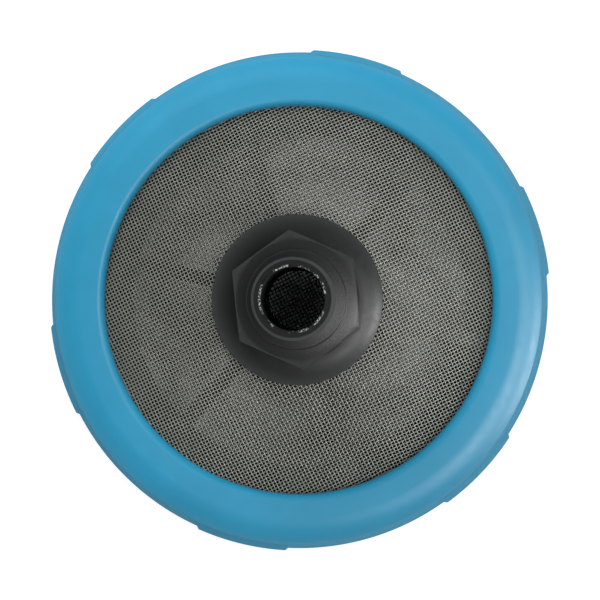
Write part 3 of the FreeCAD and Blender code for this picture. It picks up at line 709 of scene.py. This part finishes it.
class BuildBaseRing(bpy.types.Operator):
    """Black base ring with its notched foot, plate, upright wall and bayonet lugs"""

    bl_idname = "strainer.base_ring"
    bl_label = "Base ring"

    def execute(self, context):
        size, lock = context.scene.strainer_base, context.scene.strainer_lock
        low, high = low_end("base_ring"), high_end("base_ring")
        lug_low = lock.shelf_low + lock.shelf_height
        lug_high = lug_low + lock.shelf_height
        foot_rows = [(size.foot_inner, low), (size.foot_outer, low)]
        lug_rows = [(size.wall_outer, lug_low), (size.wall_outer, lug_high)]
        section = foot_rows + rounded([
            (size.foot_outer, low + SUPPORT),
            (size.foot_outer, size.plate_high, size.edge),
            (size.wall_outer, size.plate_high, size.edge),
            (size.wall_outer, lug_low - SUPPORT / 2)])
        section += lug_rows + rounded([
            (size.wall_outer, lug_high + SUPPORT / 2),
            (size.wall_outer, high, size.edge),
            (size.wall_inner, high, size.edge),
            (size.wall_inner, size.plate_high, size.edge),
            (size.window, size.plate_high, size.edge),
            (size.window, size.plate_low, size.edge),
            (size.foot_inner, size.plate_low)])
        between_lugs = lock.phase + math.pi / lock.number
        wall_slant = math.radians(0.15)
        ends = [centre + side * math.degrees(span) / 2
                for phase, span in ((lock.phase, lock.span), (between_lugs, lock.notch_span))
                for centre in sector_middles(lock.number, phase) for side in (-1, 1)]
        angles = turns(2, centres=ends, offsets=(0.0, 0.15))
        lug = sectors(angles, lock.number, lock.phase, lock.span, wall_slant)
        notch = sectors(angles, lock.number, between_lugs, lock.notch_span, wall_slant)
        rows = []
        for radius, height in section:
            if (radius, height) in lug_rows:
                radius = radius + (size.lug - size.wall_outer) * lug
            elif height < low + 2 * SUPPORT:
                height = height + (size.plate_low - low - SUPPORT) * notch
            rows.append((radius, height))
        new_ring("base_ring_moulding", rows, angles, black_polypropylene(), "base_ring")
        return {"FINISHED"}


def eased(way, bend):
    """0 below zero and way above it, bent over a short length."""
    inside = np.clip(way / bend + 0.5, 0, 1)
    return np.where(way > bend / 2, way, inside * inside * bend / 2)


def cone_surface(radius, cloth, rim_level):
    """Height and slope of the middle of the pressed cone at each radius."""
    rise = math.tan(cloth.slope)
    inside = cloth.foot - radius
    beyond = inside - (cloth.foot - cloth.top)
    height = rim_level + rise * (eased(inside, cloth.bend) - eased(beyond, cloth.bend))
    slope = rise * (np.clip(inside / cloth.bend + 0.5, 0, 1)
                    - np.clip(beyond / cloth.bend + 0.5, 0, 1))
    return height, slope


def pressed(along, across, cloth):
    """Where pressing the cone put points of the flat cloth, in warp and weft directions.

    The slope is longer than the flat cloth it came from, so the weave closes up along it. Part of
    that is even from the middle and shears the squares. The rest is along each wire and keeps
    them square.
    """
    reach = np.maximum(np.hypot(along, across), cloth.warp_pitch)
    even = (reach - cloth.drawn_from) / reach
    square = 1 - cloth.shear
    moved = []
    for own, other in ((along, across), (across, along)):
        own_size, other_size = np.abs(own), np.abs(other)
        along_wire = own_size - other_size * np.arctan2(own_size, other_size)
        drawn = cloth.shear * own * even + square * np.sign(own) * along_wire
        moved.append(own - cloth.draw * drawn)
    return moved


def wandered(along, across, cloth):
    """Small smooth wander of the wires, the same at each place for warp and weft.

    Its plain factors only keep the two waves from falling in step or repeating.
    """
    turn_along, turn_across = along * 2 * math.pi / cloth.wave, across * 2 * math.pi / cloth.wave
    shift_along = np.sin(turn_across + 1.3 * np.sin(turn_along * 0.61 + 0.8))
    shift_across = np.sin(turn_along * 0.87 + 1.1 * np.sin(turn_across * 0.53 + 2.1))
    return along + cloth.waviness * shift_along, across + cloth.waviness * shift_across


def tubes(runs, ring):
    """Points and faces of four-sided wires, each from its middle points and upward directions."""
    points, faces, start = [], [], 0
    for path, up in runs:
        side = np.cross(up, np.gradient(path, axis=0))
        side *= ring / np.linalg.norm(side, axis=1)[:, None]
        rings = np.stack([path + ring * up, path + side, path - ring * up, path - side], axis=1)
        points.append(rings.reshape(-1, 3))
        index = start + np.arange(rings.size // 3).reshape(-1, 4)
        near, far = index[:-1], index[1:]
        walls = np.stack([near, far, np.roll(far, -1, axis=1), np.roll(near, -1, axis=1)], axis=-1)
        faces += [walls.reshape(-1, 4), np.stack([index[0], index[-1][::-1]])]
        start += rings.size // 3
    return np.concatenate(points), np.concatenate(faces)


class WeaveCloths(bpy.types.Operator):
    """Woven cone and flat woven sheet, warp and weft wires passing over and under each other"""

    bl_idname = "strainer.cloths"
    bl_label = "Woven cloths"

    def execute(self, context):
        cloth, finish = context.scene.strainer_cloth, context.scene.strainer_finishes
        bright = made("drawn stainless wire", drawn_stainless_wire, finish.wire, gloss=0.4)
        # The lower cloth gets the nearly black wire, painted shade for the space under the cone.
        dull = made("dull stainless wire", drawn_stainless_wire, finish.shade_dark_wire, gloss=0.45)
        self.weave("upper_mesh", cloth, middle("upper_mesh_binding"), cloth.hole, True, bright)
        self.weave("lower_mesh", cloth, middle("lower_mesh_binding"), 0.0, False, dull)
        return {"FINISHED"}

    def weave(self, node, cloth, level, hole, conical, material):
        """Warp and weft of one cloth, each a piece."""
        for family, kind in enumerate(("warp", "weft")):
            runs = self.wires(cloth, family, level, hole, conical)
            points, faces = tubes(runs, cloth.wire / 2)
            new_piece(f"{node}_{kind}", points, faces, material, "woven_stainless", node)

    def wires(self, cloth, family, level, hole, conical):
        """Middle points and upward directions of each unbroken wire that runs one way."""
        spacing, crossing = cloth.warp_pitch, cloth.weft_pitch
        if family:
            spacing, crossing = crossing, spacing
        # Enough wires to fill the disc after pressing has drawn them in.
        reach = int(cloth.edge / min(spacing, crossing) * 1.15) + 2
        steps = np.arange(-2 * reach, 2 * reach + 1)
        for line in range(-reach, reach + 1):
            own, other = steps * crossing / 2, np.full(steps.shape, line * spacing)
            flat = (other, own) if family else (own, other)
            along, across = wandered(*flat, cloth)
            if conical:
                along, across = pressed(along, across, cloth)
            radius = np.hypot(along, across)
            heading = np.arctan2(across, along) + cloth.angle
            height, slope = np.full(radius.shape, level), np.zeros(radius.shape)
            if conical:
                height, slope = cone_surface(radius, cloth, level)
            tilt = np.arctan(slope)
            up = np.stack([np.sin(tilt) * np.cos(heading), np.sin(tilt) * np.sin(heading),
                           np.cos(tilt)], axis=-1)
            path = np.stack([radius * np.cos(heading), radius * np.sin(heading), height], axis=-1)
            over = (-1) ** (line + family) * np.cos(math.pi * steps / 2)
            path += up * (over * (cloth.thickness - cloth.wire) / 2)[:, None]
            kept = np.nonzero((radius > hole) & (radius < cloth.edge))[0]
            for run in np.split(kept, np.nonzero(np.diff(kept) > 1)[0] + 1):
                if len(run) > 2:
                    yield path[run], up[run]


class BuildHub(bpy.types.Operator):
    """Domed hub with its threaded sleeve"""

    bl_idname = "strainer.hub"
    bl_label = "Hub"

    def execute(self, context):
        hub = context.scene.strainer_hub
        low, seat = low_end("hub_flange"), high_end("hub_flange")
        flange_low = seat - hub.flange_height
        bore_floor = seat - hub.bore_depth
        recess_floor = seat - hub.recess_depth
        thread_low, thread_high = low + 3 * hub.edge, high_end("hub_nut") + hub.thread_pitch
        dome_edge = (hub.flange, flange_low + hub.flange_edge)
        angles = turns(2)
        rows = rounded([
            (hub.outlet, bore_floor),
            (hub.outlet, low, hub.edge),
            (hub.sleeve, low, hub.edge),
            (hub.sleeve, thread_low)])[:-1]
        rows += thread_rows(angles, hub.sleeve, hub, thread_low, thread_high)
        rows += rounded([
            (hub.sleeve, thread_high),
            (hub.sleeve, flange_low),
            (hub.flange, flange_low, hub.edge),
            (*dome_edge, hub.edge),
            *bulge(dome_edge, (hub.seat, seat), hub.flange_curve, steps=9),
            (hub.seat, seat, hub.edge),
            (hub.recess, seat, hub.edge / 2),
            (hub.recess, recess_floor),
            (hub.bore, recess_floor, hub.edge / 2),
            (hub.bore, recess_floor - 2 * hub.edge)])[1:-1]
        spigot = context.scene.strainer_tail.spigot
        rows += thread_rows(angles, spigot + hub.thread_play, hub, recess_floor - 2 * hub.edge,
                            bore_floor + hub.edge)
        rows.append((hub.bore, bore_floor))
        new_ring("hub_moulding", rows, angles, black_polypropylene(), "hub_flange")
        return {"FINISHED"}


class BuildHubNut(bpy.types.Operator):
    """Hexagonal nut that runs on the hub's sleeve, chamfered on its lower side"""

    bl_idname = "strainer.hub_nut"
    bl_label = "Hub nut"

    def execute(self, context):
        hub, tail = context.scene.strainer_hub, context.scene.strainer_tail
        low, high = low_end("hub_nut"), high_end("hub_nut")
        angles = hexagon_turns(2, tail.hex_phase)
        outside = hexagon(angles, hub.nut_flat, tail.hex_round, tail.hex_phase)
        chamfer = low + (outside - hub.nut_flat + hub.edge) * math.tan(tail.chamfer_fall)
        hole = hub.sleeve + hub.thread_play
        rows = [(hole, low), (hub.nut_flat - hub.edge, low), (outside, chamfer),
                (outside, high - hub.edge), (outside - hub.edge, high), (hole, high)]
        rows += thread_rows(angles, hole, hub, high - hub.edge, low + hub.edge)
        new_ring("hub_nut_moulding", rows, angles, black_polypropylene(), "hub_nut")
        return {"FINISHED"}


class BuildHoseTail(bpy.types.Operator):
    """Hose tail: threaded spigot, chamfered hexagon, round foot, barbs and a ragged bore edge"""

    bl_idname = "strainer.hose_tail"
    bl_label = "Hose tail"

    def execute(self, context):
        size, hub = context.scene.strainer_tail, context.scene.strainer_hub
        low, tip = low_end("hose_tail"), high_end("hose_tail")
        seat = high_end("hub_flange")
        hex_top = seat + size.hex_height
        foot_top = hex_top + size.foot_height
        end_face = tip - size.flash
        thread_low, thread_high = low + size.edge, seat - hub.recess_depth
        angles = hexagon_turns(1.25, size.hex_phase)
        rows = [(size.bore, low), (size.spigot - hub.thread_depth, low)]
        rows += thread_rows(angles, size.spigot, hub, thread_low, thread_high)
        rows += self.hexagon_rows(size, angles, seat, hex_top)
        rows += rounded([(size.chamfer, hex_top), *self.barbed(size, hex_top, foot_top, end_face),
                         (size.bore, end_face)])[:-1]
        rows += self.flash_rows(size, angles, end_face)
        finish = context.scene.strainer_finishes
        material = made("hose tail polypropylene", hose_tail_polypropylene, finish.black,
                        finish.torn_and_glint, hexagon_low=seat, hexagon_high=foot_top, tip=tip,
                        flash_radius=size.bore + 2 * size.edge)
        new_ring("hose_tail_moulding", rows, angles, material, "hose_tail")
        return {"FINISHED"}

    def hexagon_rows(self, size, angles, seat, hex_top):
        """Rows up one side of the chamfered hexagon."""
        outside = hexagon(angles, size.flat, size.hex_round, size.hex_phase)
        side_top = hex_top - (outside - size.chamfer) * math.tan(size.chamfer_fall)
        soft = size.edge / 2
        return [(size.spigot, seat), (outside - size.edge, seat), (outside, seat + size.edge),
                (outside, side_top - soft),
                (outside - soft, side_top + soft * math.tan(size.chamfer_fall))]

    def barbed(self, size, hex_top, foot_top, end_face):
        """Corners from the round foot up over all the barbs to the end face."""
        corners = [(size.foot, hex_top, size.edge), (size.foot, foot_top, size.edge),
                   (size.body, foot_top, 2 * size.edge)]
        for place in reversed(range(size.barb_count)):
            front = end_face - size.barb_pitch * place
            back = front - size.barb_length
            crest = back + size.back
            corners += [(size.body, back), (size.crest, crest, size.edge),
                        (size.crest, crest + size.land, size.edge), (size.front, front, size.edge)]
            if place:
                corners.append((size.body, front))
        return corners

    def flash_rows(self, size, angles, end_face):
        """Ragged thin flash that the core pin left round the edge of the bore."""
        seed, stretches = 11, 25
        random = np.random.default_rng(seed)
        ragged = random.random(len(angles)) ** 2
        stations = np.linspace(0, 2 * math.pi, stretches)
        broad = np.interp(angles, stations, random.random(stretches), period=2 * math.pi)
        tall = size.flash * np.clip(ragged * 0.8 + broad * 0.7 - 0.3, 0, 1)
        lean = 0.5 * size.edge * random.random(len(angles))
        outer = size.bore + 2 * size.edge
        return [(outer, end_face), (outer - 0.6 * size.edge - lean, end_face + tall),
                (size.bore + (size.edge + lean) / 4, end_face + tall * 0.9),
                (size.bore, end_face - size.edge)]


class FinishHeldPieces(bpy.types.Operator):
    """Spider, folded edges, washer, seals and gaskets keep their form and get their materials"""

    bl_idname = "strainer.held_pieces"
    bl_label = "Held pieces"

    def execute(self, context):
        finish = context.scene.strainer_finishes
        sheet = made("folded stainless sheet", folded_stainless_sheet, finish.folded)
        rubber = made("nitrile rubber", nitrile_rubber, finish.rubber)
        nodes = {
            black_polypropylene(): ("support_spider",),
            sheet: ("upper_mesh_binding", "lower_mesh_binding", "mesh_eyelet", "hub_washer"),
            rubber: ("rim_gasket", "base_gasket", "hub_seal", "tail_seal"),
        }
        for material, names in nodes.items():
            for name in names:
                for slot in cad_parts[name].material_slots:
                    slot.material = material
        return {"FINISHED"}


class SetStage(bpy.types.Operator):
    """Pale floor, even light, two lamps for dull surfaces, two cards for gloss, and the camera"""

    bl_idname = "strainer.stage"
    bl_label = "Stage"

    def execute(self, context):
        stage = context.scene.strainer_stage
        self.lay_floor(context.scene)
        self.set_world(context.scene, stage)
        for name in LAMPS + CARDS:
            self.hang_lamp(stage, name)
        self.set_camera(context.scene, stage)
        context.scene.view_settings.view_transform = "Standard"
        return {"FINISHED"}

    def lay_floor(self, scene):
        """A wide flat floor just under the strainer."""
        side, level = 4.0, -SUPPORT
        mesh = bpy.data.meshes.new("floor")
        mesh.from_pydata([(-side, -side, level), (side, -side, level), (side, side, level),
                          (-side, side, level)], [], [(0, 1, 2, 3)])
        size = scene.strainer_collar
        mesh.materials.append(made("pale paper", pale_paper, scene.strainer_finishes.floor,
                                   inner=size.bore, outer=size.band))
        add_object("floor", mesh)

    def set_world(self, scene, stage):
        """Even light from all round; gloss sees pale walls and a dim ceiling, the camera white."""
        scene.world = bpy.data.worlds.new("studio")
        scene.world.use_nodes = True
        add = emptied(scene.world.node_tree)
        height = add("SeparateXYZ", add("TexCoord").outputs["Generated"]).outputs["Z"]
        wall_foot, wall_top, cove_foot, cove_top = 0.1, 0.42, 0.65, 0.88
        walls = add("MapRange", height, wall_foot, wall_top, stage.walls - stage.cove, 0)
        cove = add("MapRange", height, cove_foot, cove_top, stage.cove, stage.ceiling)
        room = add("Math", walls, cove, operation="ADD")
        path, level = add("LightPath").outputs, stage.tent
        for ray, strength in (("Glossy", room), ("Transmission", 1), ("Camera", 1)):
            level = add("Mix", path[f"Is {ray} Ray"], level, strength)
        add("OutputWorld", add("Background", (1, 1, 1, 1), level))

    def hang_lamp(self, stage, name):
        """One square soft box that faces the strainer, as a lamp or as a card."""
        watts, side, distance, azimuth, elevation = (
            getattr(stage, f"{name}_{part}")
            for part in ("power", "size", "distance", "azimuth", "elevation"))
        light = bpy.data.lights.new(f"{name}_lamp", "AREA")
        light.energy, light.size = watts, side
        lamp = add_object(f"{name}_lamp", light)
        lamp.location = distance * Vector((math.cos(azimuth) * math.cos(elevation),
                                           math.sin(azimuth) * math.cos(elevation),
                                           math.sin(elevation)))
        lamp.rotation_euler = lamp.location.to_track_quat("Z", "Y").to_euler()
        lamp.visible_diffuse, lamp.visible_glossy = name in LAMPS, name in CARDS

    def set_camera(self, scene, stage):
        """Looking down the tail from a little to the right, the picture's top towards +Y."""
        top = high_end("rim_collar")
        lens = bpy.data.cameras.new("camera")
        lens.lens = lens.sensor_width * stage.distance / stage.view_width
        camera = add_object("camera", lens)
        camera.location = (stage.across, -stage.along, top + stage.distance)
        back = (camera.location - Vector((stage.aim_across, -stage.aim_along, top))).normalized()
        right = Vector((0, 1, 0)).cross(back).normalized()
        camera.rotation_euler = Matrix((right, back.cross(right), back)).transposed().to_euler()
        scene.camera = camera


OPERATORS = (BuildCollar, BuildBaseRing, WeaveCloths, BuildHub, BuildHubNut, BuildHoseTail,
             FinishHeldPieces, SetStage)


class StrainerPanel(bpy.types.Panel):
    """Builders of the strainer, from its collar to its stage"""

    bl_idname = "VIEW3D_PT_strainer"
    bl_label = "Suction strainer"
    bl_space_type = "VIEW_3D"
    bl_region_type = "UI"
    bl_category = "Strainer"

    def draw(self, context):
        for operator in OPERATORS:
            self.layout.operator(operator.bl_idname)


PROPERTY_GROUPS = {
    "strainer_collar": CollarSizes,
    "strainer_lock": LockSizes,
    "strainer_base": BaseSizes,
    "strainer_cloth": ClothSizes,
    "strainer_hub": HubSizes,
    "strainer_tail": TailSizes,
    "strainer_finishes": Finishes,
    "strainer_stage": StageSettings,
}


def register():
    """Add the properties, the operators and the panel."""
    for name, group in PROPERTY_GROUPS.items():
        bpy.utils.register_class(group)
        setattr(bpy.types.Scene, name, PointerProperty(type=group))
    for kind in (*OPERATORS, StrainerPanel):
        bpy.utils.register_class(kind)


def unregister():
    """Take them away again."""
    for kind in (StrainerPanel, *reversed(OPERATORS)):
        bpy.utils.unregister_class(kind)
    for name, group in PROPERTY_GROUPS.items():
        delattr(bpy.types.Scene, name)
        bpy.utils.unregister_class(group)


def main():
    """Build the strainer and its stage."""
    register()
    for operator in OPERATORS:
        group, name = operator.bl_idname.split(".")
        getattr(getattr(bpy.ops, group), name)()


if __name__ == "__main__":
    main()
